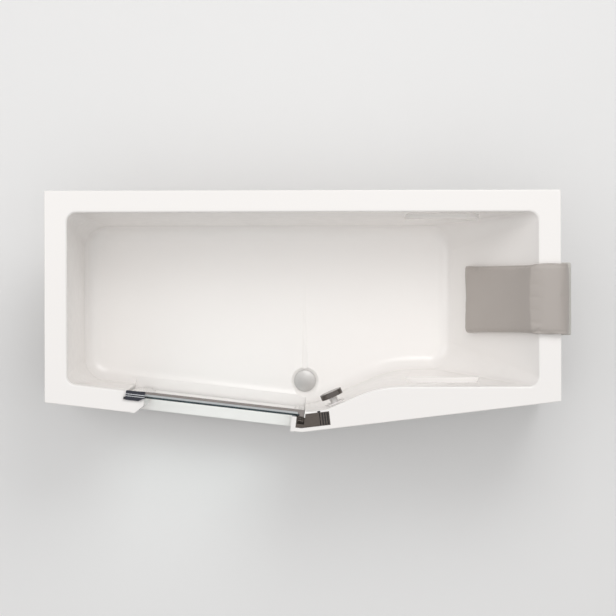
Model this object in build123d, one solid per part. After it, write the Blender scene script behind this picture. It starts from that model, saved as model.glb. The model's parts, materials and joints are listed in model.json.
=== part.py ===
from build123d import *
import os
from collections import namedtuple
from math import atan, cos, degrees, radians, sin, tan

# A walk-in bathtub: a white acrylic bath with a pointed front, a glass door that
# opens inwards, a rocking lock lever, a pop-up waste worked by a knob, adjustable
# feet, front apron panels and a loose cushion draped over the backrest end.
#
# Sizes are in millimetres. Places in plan are given by two distances: along, from the
# rim's left end, and across, from the rim's back edge that stands at the wall.
# The model's X runs along, Y points to the wall, Z is up, and the feet stand on Z = 0.

# Rim and overall sizes
LENGTH = 1600.0
WIDTH = 750.0
POINT_DEPTH = 94.0
APEX_ALONG = 795.0
APEX_RADIUS = 30.0
RIM_CORNER_RADIUS = 4.0
RIM_HEIGHT = 560.0
RIM_THICKNESS = 6.0
LIP_HEIGHT = 34.0
LIP_THICKNESS = 6.0
RIM_OUTER_EDGE = 3.0
RIM_INNER_EDGE = 7.0

# Basin
BASIN_DEPTH = 440.0
WALL = 6.0
FLOOR_WALL = 10.0
LEFT_RIM = 70.0
BACK_RIM = 68.0
RIGHT_RIM = 68.0
FRONT_RIGHT_RIM = 47.0
DOOR_SIDE_RIM = 67.0
LOCK_SIDE_RIM = 61.0
SHOULDER_FROM_POINT = 240.0
SHOULDER_TURN = 23.3
LEFT_RUN = 28.0
BACK_RUN = 36.0
BACKREST_RUN = 265.0
FRONT_RIGHT_RUN = 52.0
SHOULDER_RUN = 24.0
LOCK_SIDE_RUN = 14.0
DOOR_SIDE_RUN = 10.0
FLOOR_FILLET = 50.0
CORNER_RADIUS_RIM = 28.0
CORNER_RADIUS_FLOOR = 82.0
SHOULDER_RADIUS = 330.0
KNOB_CORNER_RADIUS = 62.0
APEX_CORNER_RADIUS = 90.0

# Armrest ledges in the two long walls
ARMREST_FROM_RIGHT = 245.0
ARMREST_LENGTH = 233.0
ARMREST_DEPTH = 200.0
ARMREST_BACK_STEP = 1.0
ARMREST_FRONT_STEP = 8.0
ARMREST_REACH = 40.0
ARMREST_END_RADIUS = 12.0

# Waste hole and the channel in the floor that leads to it
DRAIN_PAST_POINT = 10.5
DRAIN_FROM_FRONT = 149.0
CHANNEL_LENGTH = 354.0
CHANNEL_WIDTH = 18.0
CHANNEL_DEPTH = 4.0

# Door opening, measured along the left front edge of the rim and inwards from it
OPENING_WIDTH = 485.5
DOOR_POST = 35.5
JAMB_SPLAY = 25.5
SILL_STEP = 60.0
FRAME_THICKNESS = 12.0
DOOR_SEAT = 46.0
SEAL_THICKNESS = 3.0
SEAL_WIDTH = 10.0
SOFT_GAP = 0.3

# Door leaf
HINGE_OUTSIDE = 15.5
HINGE_SETBACK = 8.7
KNUCKLE_RADIUS = 10.0
LEAF_LAP = 36.5
LEAF_THICKNESS = 20.0
LEAF_CLEARANCE = 11.0
LEAF_TOP_DROP = 2.0
GLASS_THICKNESS = 6.0
HINGE_PROFILE_PAST_JAMB = 1.0
LOCK_PROFILE_WIDTH = 19.5
GLASS_EDGE_SEAT = 6.0
PROFILE_LAP = 12.0
PROFILE_LIP = 6.0
TOP_RAIL_HEIGHT = 20.0
BOTTOM_RAIL_HEIGHT = 24.0
BOTTOM_RAIL_DEPTH = 8.0
SWEEP_THICKNESS = 3.0
SWEEP_HEIGHT = 5.0
STRIP_WIDTH = 6.0
STRIP_HEIGHT = 5.0
NICHE_BESIDE_HINGE = 14.0
NICHE_BESIDE_LEAF = 1.5
NICHE_STEP = 6.0
NICHE_REACH = 125.0
PIN_RADIUS = 4.0
RUNNING_FIT = 0.05
BUSH_RADIUS = 6.5
BUSH_LENGTH = 30.0
HINGE_CAP_HEIGHT = 13.0
HINGE_CAP_OUT = 20.0
HINGE_CAP_IN = 10.0
HINGE_CAP_BEFORE = 17.0
HINGE_CAP_TAPER = 24.0
HINGE_CAP_CORNERS = [3.0, 8.0, 1.5, 1.5, 20.0, 3.0]
HINGE_CAP_CROWN = 20.0
BEARING_HEIGHT = 8.0

# Lock, measured along the right front edge of the rim from the apex and inwards
LOCK_FRONT = 13.0
LOCK_BACK_RIM = 6.0
LOCK_TO = 92.0
LOCK_MOUTH_POST = 15.0
LOCK_MOUTH_GAP = 3.0
LOCK_CASE_WALL = 2.0
LOCK_CASE_DEPTH = 62.0
LOCK_CASE_PROUD = 1.0
LOCK_PLATE_THICKNESS = 2.0
LOCK_PLATE_GAP = 2.0
LOCK_PLATE_FRONT_STRIP = 10.0
LOCK_PIVOT_ALONG = 60.6
LOCK_PIVOT_DROP = 5.5
LOCK_PIN_RADIUS = 2.5
LOCK_HUB_RADIUS = 4.0
LOCK_PIN_HEAD_RADIUS = 4.5
LOCK_PIN_HEAD_LENGTH = 4.0
GRIP_FROM = 62.5
GRIP_GROOVES = 3
GRIP_GROOVE_WIDTH = 3.0
GRIP_GROOVE_DEPTH = 2.2
ARM_TO = -2.0
ARM_OUT = 18.3
ARM_THICKNESS = 8.6
NOSE_THICKNESS = 6.0
ARM_DROP = (38.0, 31.0)
NOSE_WIDTH = 6.5
NOSE_DROP = 15.0
MOUTH_DROP = 58.0
GRIP_GAP = 0.6
GRIP_PLATE = 3.0
GRIP_EDGE = 0.6

# Keeper on the leaf, caught by the nose of the lever
KEEPER_BESIDE_MOUTH = 4.0
KEEPER_BESIDE_LEAF = 1.0
KEEPER_CHEEK = 2.0
KEEPER_PLATE = 2.5
KEEPER_REACH = 18.3
KEEPER_PIN_REACH = 14.8
KEEPER_PIN_DROP = 10.0
KEEPER_PIN_RADIUS = 2.5
KEEPER_DROP = (14.5, 5.0)

# Waste: flange and plug in the floor, trap below it
DRAIN_HOLE_RADIUS = 27.0
DRAIN_BOSS_RADIUS = 52.0
DRAIN_BOSS_HEIGHT = 6.0
DISH_DEPTH = 7.0
DISH_RADIUS = 44.0
DISH_RISE = 12.0
FLANGE_RADIUS = 35.5
FLANGE_THICKNESS = 3.0
THROAT_RADIUS = 26.0
THROAT_BORE = 23.0
THROAT_LENGTH = 34.0
SPIDER_HEIGHT = 8.0
SPIDER_DROP = 14.0
SPIDER_HUB_RADIUS = 9.0
SPIDER_ARM = 4.0
PLUG_RADIUS = 32.5
PLUG_DOME = 4.5
PLUG_EDGE = 2.0
STEM_RADIUS = 4.0
STEM_LENGTH = 46.0
TRAP_RADIUS = 45.0
TRAP_WALL = 3.0
TRAP_HEIGHT = 70.0
OUTLET_RADIUS = 20.0
OUTLET_BORE = 18.0
OUTLET_DROP = 43.0
OUTLET_LENGTH = 171.0
SPIGOT_LENGTH = 60.0
OUTLET_COLLAR = 2.0

# Overflow and its knob, on the shoulder wall
KNOB_ALONG_WALL = 145.0
KNOB_DEPTH = 95.0
KNOB_RADIUS = 36.0
KNOB_FROM = 21.0
KNOB_TO = 38.0
KNOB_SHAFT_RADIUS = 5.0
ESCUTCHEON_RADIUS = 28.0
ESCUTCHEON_THICKNESS = 3.0
NECK_RADIUS = 12.0
INTAKE_HOLES = 8
INTAKE_RADIUS = 1.8
INTAKE_CIRCLE = 16.25
KNOB_EDGE = 1.5
SCOOP_RADIUS = 12.0
SCOOP_DEPTH = 5.0
OVERFLOW_HOLE = 24.0
OVERFLOW_TUBE = 23.5
OVERFLOW_BODY_RADIUS = 28.0
OVERFLOW_BODY_BACK = 44.0
GASKET_THICKNESS = 3.0
OVERFLOW_PIPE_RADIUS = 16.0
OVERFLOW_PIPE_WALL = 2.0
OVERFLOW_PIPE_BEND = 45.0
CABLE_RADIUS = 3.0
CABLE_BEND = 30.0

# Underside: base board, cross rails and feet
BOARD_THICKNESS = 18.0
BOARD_INSET = 70.0
BOARD_DRAIN_CUT = 80.0
RAIL_FROM_LEFT = 230.0
RAIL_BEFORE_DRAIN = 165.5
RAIL_FROM_RIGHT = 480.0
RAIL_BACK_ACROSS = 150.0
RAIL_FRONT_GAP = 34.0
RAIL_WIDTH = 40.0
RAIL_HEIGHT = 30.0
RAIL_WALL = 2.5
FOOT_FROM_END = 40.0
SPINDLE_RADIUS = 5.0
PAD_RADIUS = 25.0
PAD_HEIGHT = 12.0
NUT_RADIUS = 9.0
NUT_HEIGHT = 10.0
SCREW_RADIUS = 2.5
SCREW_HEAD_RADIUS = 5.0
SCREW_LENGTH = 14.0
SCREW_COUNT = 4
SCREW_FIRST = 90.0
SCREW_PITCH = 87.0

# Front apron panels and their fixings
APRON_INWARD = 8.0
APRON_THICKNESS = 4.0
APRON_BOTTOM = 20.0
APRON_LAP = 8.0
APRON_RETURN = 18.0
APRON_END_GAP = 2.0
APRON_NOTCH_GAP = 1.0
ANGLE_WIDTH = 30.0
ANGLE_HEIGHT = 50.0
ANGLE_REACH = 46.0

# Wall brackets under the back rim
BRACKET_FROM_END = 330.0
BRACKET_WIDTH = 70.0
BRACKET_SHEET = 3.0
BRACKET_DROP = 120.0
BRACKET_HOLE_RADIUS = 4.0
BRACKET_HOLE_UP = 30.0
BRACKET_HOLE_SPACING = 40.0

# Cushion over the backrest end
PAD_WIDTH = 226.0
PAD_THICKNESS = 26.0
PAD_REACH = 197.0
PAD_FLAP_DROP = 28.0
WEIGHT_HEIGHT = 92.0
WEIGHT_THICKNESS = 32.7


END_WIDTH = WIDTH - POINT_DEPTH
PAD_OVERHANG = WEIGHT_THICKNESS + SOFT_GAP
LEFT_ANGLE = degrees(atan((WIDTH - END_WIDTH) / APEX_ALONG))
RIGHT_ANGLE = degrees(atan((WIDTH - END_WIDTH) / (LENGTH - APEX_ALONG)))
APEX_OUT = APEX_ALONG / cos(radians(LEFT_ANGLE))
OPENING_TO = APEX_OUT - DOOR_POST
OPENING_FROM = OPENING_TO - OPENING_WIDTH
FRONT_RIGHT_ACROSS = END_WIDTH - FRONT_RIGHT_RIM
SHOULDER_ALONG = APEX_ALONG + SHOULDER_FROM_POINT
ARMREST_TO = LENGTH - ARMREST_FROM_RIGHT
ARMREST_FROM = ARMREST_TO - ARMREST_LENGTH
FLOOR = RIM_HEIGHT - BASIN_DEPTH
UNDERSIDE = FLOOR - FLOOR_WALL
BOSS_BOTTOM = UNDERSIDE - DRAIN_BOSS_HEIGHT
FLANGE_TOP = FLOOR - DISH_DEPTH + FLANGE_THICKNESS
TRAP_TOP = BOSS_BOTTOM - GASKET_THICKNESS
BOARD_BOTTOM = UNDERSIDE - BOARD_THICKNESS
DRAIN_ALONG = APEX_ALONG + DRAIN_PAST_POINT
DRAIN_ACROSS = WIDTH - DRAIN_FROM_FRONT
OUTLET_HEIGHT = TRAP_TOP - OUTLET_DROP
OUTLET_ACROSS = DRAIN_ACROSS - OUTLET_LENGTH
SILL_HEIGHT = FLOOR + SILL_STEP
NICHE_FLOOR = FLOOR + NICHE_STEP
LEAF_BOTTOM = NICHE_FLOOR + LEAF_CLEARANCE
LEAF_TOP = RIM_HEIGHT - LEAF_TOP_DROP
ARM_HEIGHT = (RIM_HEIGHT - ARM_DROP[0], RIM_HEIGHT - ARM_DROP[1])
NOSE_TOP = RIM_HEIGHT - NOSE_DROP
MOUTH_SILL = RIM_HEIGHT - MOUTH_DROP
KEEPER_PIN_HEIGHT = RIM_HEIGHT - KEEPER_PIN_DROP
KEEPER_HEIGHT = (RIM_HEIGHT - KEEPER_DROP[0], RIM_HEIGHT - KEEPER_DROP[1])
APRON_TOP = RIM_HEIGHT - LIP_HEIGHT + APRON_LAP
BRACKET_BOTTOM = RIM_HEIGHT - BRACKET_DROP
PAD_MIDDLE_ACROSS = (BACK_RIM + FRONT_RIGHT_ACROSS) / 2
PAD_FROM_ACROSS = PAD_MIDDLE_ACROSS - PAD_WIDTH / 2
PAD_TO_ACROSS = PAD_MIDDLE_ACROSS + PAD_WIDTH / 2
PAD_LOW_ALONG = LENGTH - RIGHT_RIM - PAD_REACH
PAD_FLAP_BOTTOM = RIM_HEIGHT - PAD_FLAP_DROP
WEIGHT_BOTTOM = PAD_FLAP_BOTTOM - WEIGHT_HEIGHT
WEB_BOTTOM = BOARD_BOTTOM - RAIL_WALL
PIVOT_HEIGHT = RIM_HEIGHT - LOCK_PIVOT_DROP
CASE_TOP = RIM_HEIGHT + LOCK_CASE_PROUD
GLASS_OUT = DOOR_SEAT + SEAL_THICKNESS + SOFT_GAP
LEAF_IN = GLASS_OUT + LEAF_THICKNESS
HINGE_ALONG = OPENING_FROM - HINGE_OUTSIDE
HINGE_INWARD = GLASS_OUT + HINGE_SETBACK
HINGE_PROFILE_TO = OPENING_FROM + JAMB_SPLAY + HINGE_PROFILE_PAST_JAMB
LEAF_TO = OPENING_TO + LEAF_LAP
LOCK_PROFILE_FROM = LEAF_TO - LOCK_PROFILE_WIDTH
NICHE_FROM = HINGE_ALONG - NICHE_BESIDE_HINGE
NICHE_TO = LEAF_TO + NICHE_BESIDE_LEAF
HINGE_CAP_INWARD = (HINGE_INWARD - HINGE_CAP_OUT, HINGE_INWARD + HINGE_CAP_IN)
HINGE_CAP_ALONG = (HINGE_ALONG - HINGE_CAP_BEFORE, HINGE_ALONG + HINGE_CAP_TAPER, HINGE_PROFILE_TO)
LOCK_BACK = LOCK_SIDE_RIM - LOCK_BACK_RIM
LOCK_MOUTH_FROM = OPENING_TO + LOCK_MOUTH_POST
LOCK_MOUTH_TO = NICHE_TO + LOCK_MOUTH_GAP
ARM_INWARD = (GLASS_OUT - ARM_OUT, GLASS_OUT - ARM_OUT + ARM_THICKNESS)
NOSE_INWARD = (ARM_INWARD[1], ARM_INWARD[1] + NOSE_THICKNESS)
KEEPER_ALONG = (LOCK_MOUTH_FROM + KEEPER_BESIDE_MOUTH, LEAF_TO - KEEPER_BESIDE_LEAF)
KEEPER_OUT = GLASS_OUT - KEEPER_REACH
KEEPER_PIN_INWARD = GLASS_OUT - KEEPER_PIN_REACH
RAILS_ALONG = (RAIL_FROM_LEFT, DRAIN_ALONG - RAIL_BEFORE_DRAIN, LENGTH - RAIL_FROM_RIGHT)
BRACKETS_ALONG = (BRACKET_FROM_END, LENGTH / 2, LENGTH - BRACKET_FROM_END)
RIM_CORNERS = [RIM_CORNER_RADIUS] * 4 + [APEX_RADIUS]


def plan(along, across):
    """A point in plan from its distances to the rim's left end and back edge."""
    return (along - (LENGTH + PAD_OVERHANG) / 2, WIDTH / 2 - across)


# The two front edges have their own frames: x along the edge, y inwards, z up.
DOOR_SIDE = Location((*plan(0, END_WIDTH), 0), (0, 0, -LEFT_ANGLE))
LOCK_SIDE = Location((*plan(APEX_ALONG, WIDTH), 0), (0, 0, RIGHT_ANGLE))


def on_side(side, along, inward):
    """The point in plan that lies so far along a front edge and inwards from it."""
    spot = (side * Location((along, inward, 0))).position
    return (spot.X, spot.Y)


def front_across(along):
    """How far the front edge of the rim stands from the back edge."""
    if along < APEX_ALONG:
        return END_WIDTH + along * tan(radians(LEFT_ANGLE))
    return WIDTH - (along - APEX_ALONG) * tan(radians(RIGHT_ANGLE))


def front_edge(along, inward):
    """The frame of the front edge at a place in plan, and how far along it the place lies."""
    if along < APEX_ALONG:
        turn = radians(LEFT_ANGLE)
        return DOOR_SIDE, (along - inward * sin(turn)) / cos(turn)
    turn = radians(RIGHT_ANGLE)
    return LOCK_SIDE, (along - APEX_ALONG + inward * sin(turn)) / cos(turn)


def prism(points, bottom, top, radii=None):
    """An upright solid over a closed outline, with its corners rounded if asked."""
    if radii is None:
        line = Polyline(*points, close=True)
    else:
        line = FilletPolyline(*points, radius=radii, close=True)
    return Pos(0, 0, bottom) * extrude(make_face(line), top - bottom, dir=(0, 0, 1))


def block(x, y, z):
    """A box from three pairs of limits."""
    return Pos(sum(x) / 2, sum(y) / 2, sum(z) / 2) * Box(x[1] - x[0], y[1] - y[0], z[1] - z[0])


def rod(spot, radius, z):
    """An upright cylinder between two heights."""
    return Pos(spot[0], spot[1], sum(z) / 2) * Cylinder(radius, z[1] - z[0])


def tube(spot, radius, bore, z):
    """An upright tube between two heights."""
    return rod(spot, radius, z) - rod(spot, bore, z)


def group(solids):
    """Separate solids that share one node."""
    return Compound(children=list(solids))


# Outlines in plan
Wall = namedtuple("Wall", "point heading run")


def crossing(first, second):
    """Where two lines in plan meet, each given as a point and a heading."""
    (x1, y1), h1 = first
    (x2, y2), h2 = second
    c1, s1, c2, s2 = cos(radians(h1)), sin(radians(h1)), cos(radians(h2)), sin(radians(h2))
    reach = ((x2 - x1) * s2 - (y2 - y1) * c2) / (c1 * s2 - s1 * c2)
    return (x1 + c1 * reach, y1 + s1 * reach)


def outline(walls, steps):
    """Corners where neighbouring walls meet, once each has moved inwards by its step."""
    lines = []
    for wall, step in zip(walls, steps):
        turn = radians(wall.heading)
        x, y = wall.point
        lines.append(((x + step * sin(turn), y - step * cos(turn)), wall.heading))
    return [crossing(lines[i - 1], lines[i]) for i in range(len(lines))]


def rim_outline(inset):
    """The rim's outer outline, moved inwards by an inset."""
    walls = [
        Wall(plan(0, 0), 90, 0),
        Wall(plan(0, 0), 0, 0),
        Wall(plan(LENGTH, 0), -90, 0),
        Wall(plan(APEX_ALONG, WIDTH), 180 + RIGHT_ANGLE, 0),
        Wall(plan(APEX_ALONG, WIDTH), 180 - LEFT_ANGLE, 0),
    ]
    return outline(walls, [inset] * len(walls))


def basin_walls():
    """The basin's walls in turn: a point at the rim, the heading, the run to the floor."""
    return [
        Wall(plan(LEFT_RIM, 0), 90, LEFT_RUN),
        Wall(plan(0, BACK_RIM), 0, BACK_RUN),
        Wall(plan(LENGTH - RIGHT_RIM, 0), -90, BACKREST_RUN),
        Wall(plan(0, FRONT_RIGHT_ACROSS), 180, FRONT_RIGHT_RUN),
        Wall(plan(SHOULDER_ALONG, FRONT_RIGHT_ACROSS), 180 + SHOULDER_TURN, SHOULDER_RUN),
        Wall(on_side(LOCK_SIDE, 0, LOCK_SIDE_RIM), 180 + RIGHT_ANGLE, LOCK_SIDE_RUN),
        Wall(on_side(DOOR_SIDE, 0, DOOR_SIDE_RIM), 180 - LEFT_ANGLE, DOOR_SIDE_RUN),
    ]


def basin_outline(share, inset):
    """The basin's outline at a share of its depth, moved inwards by an inset."""
    walls = basin_walls()
    return outline(walls, [wall.run * share + inset for wall in walls])


def corner_radii(share, grow):
    """Radii of the basin's corners, from the left front one round the back to the apex."""
    corner = CORNER_RADIUS_RIM + (CORNER_RADIUS_FLOOR - CORNER_RADIUS_RIM) * share + grow
    bends = [SHOULDER_RADIUS - grow, KNOB_CORNER_RADIUS + grow, APEX_CORNER_RADIUS + grow]
    return [corner] * 4 + bends


# Acrylic shell
def basin_space(grow=0.0, floor_grow=0.0):
    """The space inside the basin, or its outside when grown by the wall thickness."""
    levels = []
    for share, height in ((0.0, RIM_HEIGHT), (1.0 + floor_grow / BASIN_DEPTH, FLOOR - floor_grow)):
        radii = corner_radii(round(share), grow)
        line = FilletPolyline(*basin_outline(share, -grow), radius=radii, close=True)
        levels.append(Pos(0, 0, height) * make_face(line))
    body = loft(levels, ruled=True)
    return fillet(body.faces().sort_by(Axis.Z)[0].edges(), FLOOR_FILLET + grow)


def niche(grow, inward_to, top):
    """The flat recess that the door leaf closes into, grown by a wall thickness."""
    along = (NICHE_FROM - grow, NICHE_TO + grow)
    return DOOR_SIDE * block(along, (DOOR_SEAT - grow, inward_to), (NICHE_FLOOR - grow, top))


def armrest_pockets(grow):
    """The spaces above the two armrest ledges, grown by a wall thickness."""
    pockets = []
    along = (ARMREST_FROM - grow, ARMREST_TO + grow)
    back_wall = BACK_RIM + ARMREST_BACK_STEP
    back = (back_wall - grow, back_wall + ARMREST_REACH)
    front_wall = FRONT_RIGHT_ACROSS - ARMREST_FRONT_STEP
    front = (front_wall + grow, front_wall - ARMREST_REACH)
    for near, far in (back, front):
        places = [(along[0], near), (along[1], near), (along[1], far), (along[0], far)]
        corners = [plan(*place) for place in places]
        height = (RIM_HEIGHT - ARMREST_DEPTH - grow, RIM_HEIGHT - RIM_INNER_EDGE - grow)
        pockets.append(prism(corners, *height, [ARMREST_END_RADIUS + grow] * 2 + [1.0] * 2))
    return pockets


def frame_outline():
    """Outline in plan of the door frame, which is also the gap cut for it in the rim."""
    splay_to = OPENING_FROM - FRAME_THICKNESS + JAMB_SPLAY
    return [
        (OPENING_FROM - FRAME_THICKNESS, 0),
        (OPENING_TO + FRAME_THICKNESS, 0),
        (OPENING_TO + FRAME_THICKNESS, DOOR_SEAT),
        (splay_to, DOOR_SEAT),
        (splay_to, JAMB_SPLAY),
    ]


def floor_channel():
    """The shallow channel that runs down the floor to the waste and fades out behind."""
    start_x, start_y = plan(DRAIN_ALONG, DRAIN_ACROSS - CHANNEL_LENGTH)
    end_x, end_y = plan(DRAIN_ALONG, DRAIN_ACROSS)
    radius = (CHANNEL_WIDTH ** 2 / 4 + CHANNEL_DEPTH ** 2) / (2 * CHANNEL_DEPTH)
    start = Vector(start_x, start_y, FLOOR + radius)
    end = Vector(end_x, end_y, FLOOR + radius - CHANNEL_DEPTH)
    way = end - start
    return Plane(origin=start, z_dir=way) * Pos(0, 0, way.length / 2) * Cylinder(radius, way.length)


def drain_dish():
    """The dished seat round the waste, which also scoops into the rounded wall beside it."""
    spread = (DISH_RADIUS - FLANGE_RADIUS) / DISH_DEPTH
    height = DISH_DEPTH + DISH_RISE
    middle = FLOOR - DISH_DEPTH + height / 2
    low = FLANGE_RADIUS + SOFT_GAP
    return Pos(*plan(DRAIN_ALONG, DRAIN_ACROSS), middle) * Cone(low, low + spread * height, height)


def tub_shell():
    """The bath itself: rim with a turned-down lip, basin, door niche and armrest ledges."""
    lip_span = (RIM_HEIGHT - LIP_HEIGHT, RIM_HEIGHT)
    body = prism(rim_outline(0), *lip_span, RIM_CORNERS)
    under_rim = prism(rim_outline(LIP_THICKNESS), lip_span[0], RIM_HEIGHT - RIM_THICKNESS)
    body = body - under_rim
    body += basin_space(WALL, FLOOR_WALL)
    body += niche(WALL, NICHE_REACH, RIM_HEIGHT - RIM_INNER_EDGE - 1)
    body += niche(WALL, DOOR_SIDE_RIM - WALL, RIM_HEIGHT - 1)
    for pocket in armrest_pockets(WALL):
        body += pocket
    drain = plan(DRAIN_ALONG, DRAIN_ACROSS)
    body += rod(drain, DRAIN_BOSS_RADIUS, (BOSS_BOTTOM, UNDERSIDE + 1))
    body -= basin_space()
    top = body.faces().sort_by(Axis.Z)[-1]
    body = fillet(top.inner_wires()[0].edges(), RIM_INNER_EDGE)
    top = body.faces().sort_by(Axis.Z)[-1]
    body = fillet(top.outer_wire().edges(), RIM_OUTER_EDGE)
    for pocket in armrest_pockets(0):
        body -= pocket
    body -= niche(0, NICHE_REACH, RIM_HEIGHT + 1)
    body -= DOOR_SIDE * prism(frame_outline(), SILL_HEIGHT - FRAME_THICKNESS, RIM_HEIGHT + 1)
    body -= floor_channel()
    body -= drain_dish()
    body -= rod(drain, DRAIN_HOLE_RADIUS, (BOSS_BOTTOM - 1, FLOOR + 1))
    body -= OVERFLOW * rod((0, 0), OVERFLOW_HOLE, (-3 * WALL, WALL))
    body -= prism(case_outline(0), RIM_HEIGHT - LOCK_CASE_DEPTH, RIM_HEIGHT + 1)
    body -= LOCK_SIDE * pin_head(SOFT_GAP)
    return body


# Door frame in the opening
def door_frame():
    """White surround of the opening: splayed left jamb, sill and right jamb."""
    bottom = SILL_HEIGHT - FRAME_THICKNESS
    opening = [
        (OPENING_FROM, -1),
        (OPENING_FROM, 0),
        (OPENING_FROM + JAMB_SPLAY, JAMB_SPLAY),
        (OPENING_FROM + JAMB_SPLAY, DOOR_SEAT + 1),
        (OPENING_TO, DOOR_SEAT + 1),
        (OPENING_TO, -1),
    ]
    body = prism(frame_outline(), bottom, RIM_HEIGHT) - prism(opening, SILL_HEIGHT, RIM_HEIGHT + 1)
    return DOOR_SIDE * body


def frame_seal():
    """Rubber seal on the inside of the door frame, down both jambs and along the sill."""
    inward = (DOOR_SEAT, DOOR_SEAT + SEAL_THICKNESS)
    low = SILL_HEIGHT - 1 - SEAL_WIDTH
    left = OPENING_FROM + JAMB_SPLAY - 1 - SEAL_WIDTH
    right = OPENING_TO + 1 + SEAL_WIDTH
    body = block((left, left + SEAL_WIDTH), inward, (low, LEAF_TOP))
    body += block((right - SEAL_WIDTH, right), inward, (low, LEAF_TOP))
    body += block((left, right), inward, (low, low + SEAL_WIDTH))
    return DOOR_SIDE * body


# Door leaf: a glass pane edged with profiles, hung on a knuckle at its left end
def door_glass():
    """The glass pane."""
    along = (HINGE_PROFILE_TO - GLASS_EDGE_SEAT, LOCK_PROFILE_FROM + GLASS_EDGE_SEAT)
    return DOOR_SIDE * block(along, (GLASS_OUT, GLASS_OUT + GLASS_THICKNESS), (LEAF_BOTTOM, LEAF_TOP))


def hinge_profile():
    """Upright profile that clasps the pane and carries the bored hinge knuckle."""
    glass_edge = HINGE_PROFILE_TO - GLASS_EDGE_SEAT
    glass_in = GLASS_OUT + GLASS_THICKNESS
    web = [
        (HINGE_ALONG, GLASS_OUT),
        (glass_edge, GLASS_OUT),
        (glass_edge, glass_in),
        (HINGE_PROFILE_TO + PROFILE_LAP, glass_in),
        (HINGE_PROFILE_TO + PROFILE_LAP, glass_in + PROFILE_LIP),
        (HINGE_PROFILE_TO, LEAF_IN),
        (HINGE_ALONG, HINGE_INWARD + KNUCKLE_RADIUS),
    ]
    body = prism(web, LEAF_BOTTOM, LEAF_TOP)
    rail = (LEAF_TOP - TOP_RAIL_HEIGHT, LEAF_TOP + 1)
    body -= block((HINGE_PROFILE_TO, HINGE_PROFILE_TO + PROFILE_LAP + 1), (glass_in, LEAF_IN), rail)
    axis = (HINGE_ALONG, HINGE_INWARD)
    body += rod(axis, KNUCKLE_RADIUS, (LEAF_BOTTOM, LEAF_TOP))
    body -= rod(axis, BUSH_RADIUS + RUNNING_FIT, (LEAF_BOTTOM - 1, LEAF_TOP + 1))
    return DOOR_SIDE * body


def lock_profile():
    """Upright profile at the lock end of the pane, under the end of the top rail."""
    glass_edge = LOCK_PROFILE_FROM + GLASS_EDGE_SEAT
    glass_in = GLASS_OUT + GLASS_THICKNESS
    section = [
        (glass_edge, GLASS_OUT),
        (LEAF_TO, GLASS_OUT),
        (LEAF_TO, LEAF_IN),
        (LOCK_PROFILE_FROM, LEAF_IN),
        (LOCK_PROFILE_FROM - PROFILE_LAP, glass_in + PROFILE_LIP),
        (LOCK_PROFILE_FROM - PROFILE_LAP, glass_in),
        (glass_edge, glass_in),
    ]
    return DOOR_SIDE * prism(section, LEAF_BOTTOM, LEAF_TOP - TOP_RAIL_HEIGHT)


def door_top_rail():
    """Polished rail along the top of the leaf, which also covers the lock end of the pane."""
    glass_edge = LOCK_PROFILE_FROM + GLASS_EDGE_SEAT
    glass_in = GLASS_OUT + GLASS_THICKNESS
    section = [
        (HINGE_PROFILE_TO, glass_in),
        (glass_edge, glass_in),
        (glass_edge, GLASS_OUT),
        (LEAF_TO, GLASS_OUT),
        (LEAF_TO, LEAF_IN),
        (HINGE_PROFILE_TO, LEAF_IN),
    ]
    body = prism(section, LEAF_TOP - TOP_RAIL_HEIGHT, LEAF_TOP)
    return DOOR_SIDE * (body - strip_block())


def strip_block():
    """The space of the pale strip between the pane and the top rail."""
    glass_in = GLASS_OUT + GLASS_THICKNESS
    along = (HINGE_PROFILE_TO, LOCK_PROFILE_FROM)
    return block(along, (glass_in, glass_in + STRIP_WIDTH), (LEAF_TOP - STRIP_HEIGHT, LEAF_TOP))


def door_top_strip():
    """Pale sealing strip beside the top edge of the pane."""
    return DOOR_SIDE * strip_block()


def door_bottom_rail():
    """Slim rail along the bottom of the pane, with its top sloped to shed water."""
    glass_in = GLASS_OUT + GLASS_THICKNESS
    rail_in = glass_in + BOTTOM_RAIL_DEPTH
    along = (HINGE_PROFILE_TO + PROFILE_LAP, LOCK_PROFILE_FROM - PROFILE_LAP)
    body = block(along, (glass_in, rail_in), (LEAF_BOTTOM, LEAF_BOTTOM + BOTTOM_RAIL_HEIGHT))
    top_inner = body.edges().filter_by(Axis.X).sort_by(Axis.Z)[-2:].sort_by(Axis.Y)[-1]
    return DOOR_SIDE * chamfer(top_inner, BOTTOM_RAIL_DEPTH - 1)


def door_sweep():
    """Rubber lip under the bottom rail."""
    middle = GLASS_OUT + GLASS_THICKNESS + BOTTOM_RAIL_DEPTH / 2
    along = (HINGE_PROFILE_TO + PROFILE_LAP, LOCK_PROFILE_FROM - PROFILE_LAP)
    inward = (middle - SWEEP_THICKNESS / 2, middle + SWEEP_THICKNESS / 2)
    return DOOR_SIDE * block(along, inward, (LEAF_BOTTOM - SWEEP_HEIGHT, LEAF_BOTTOM))


def door_keeper():
    """Fork with a cross pin on the leaf, which the lock's nose holds back."""
    height = KEEPER_HEIGHT
    plate = (GLASS_OUT - KEEPER_PLATE, GLASS_OUT)
    body = block(KEEPER_ALONG, plate, height)
    for side in (KEEPER_ALONG[0], KEEPER_ALONG[1] - KEEPER_CHEEK):
        body += block((side, side + KEEPER_CHEEK), (KEEPER_OUT, plate[1]), height)
    pin = Pos(sum(KEEPER_ALONG) / 2, KEEPER_PIN_INWARD, KEEPER_PIN_HEIGHT) * Rot(0, 90, 0)
    body += pin * Cylinder(KEEPER_PIN_RADIUS, KEEPER_ALONG[1] - KEEPER_ALONG[0] - KEEPER_CHEEK)
    return DOOR_SIDE * body


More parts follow.
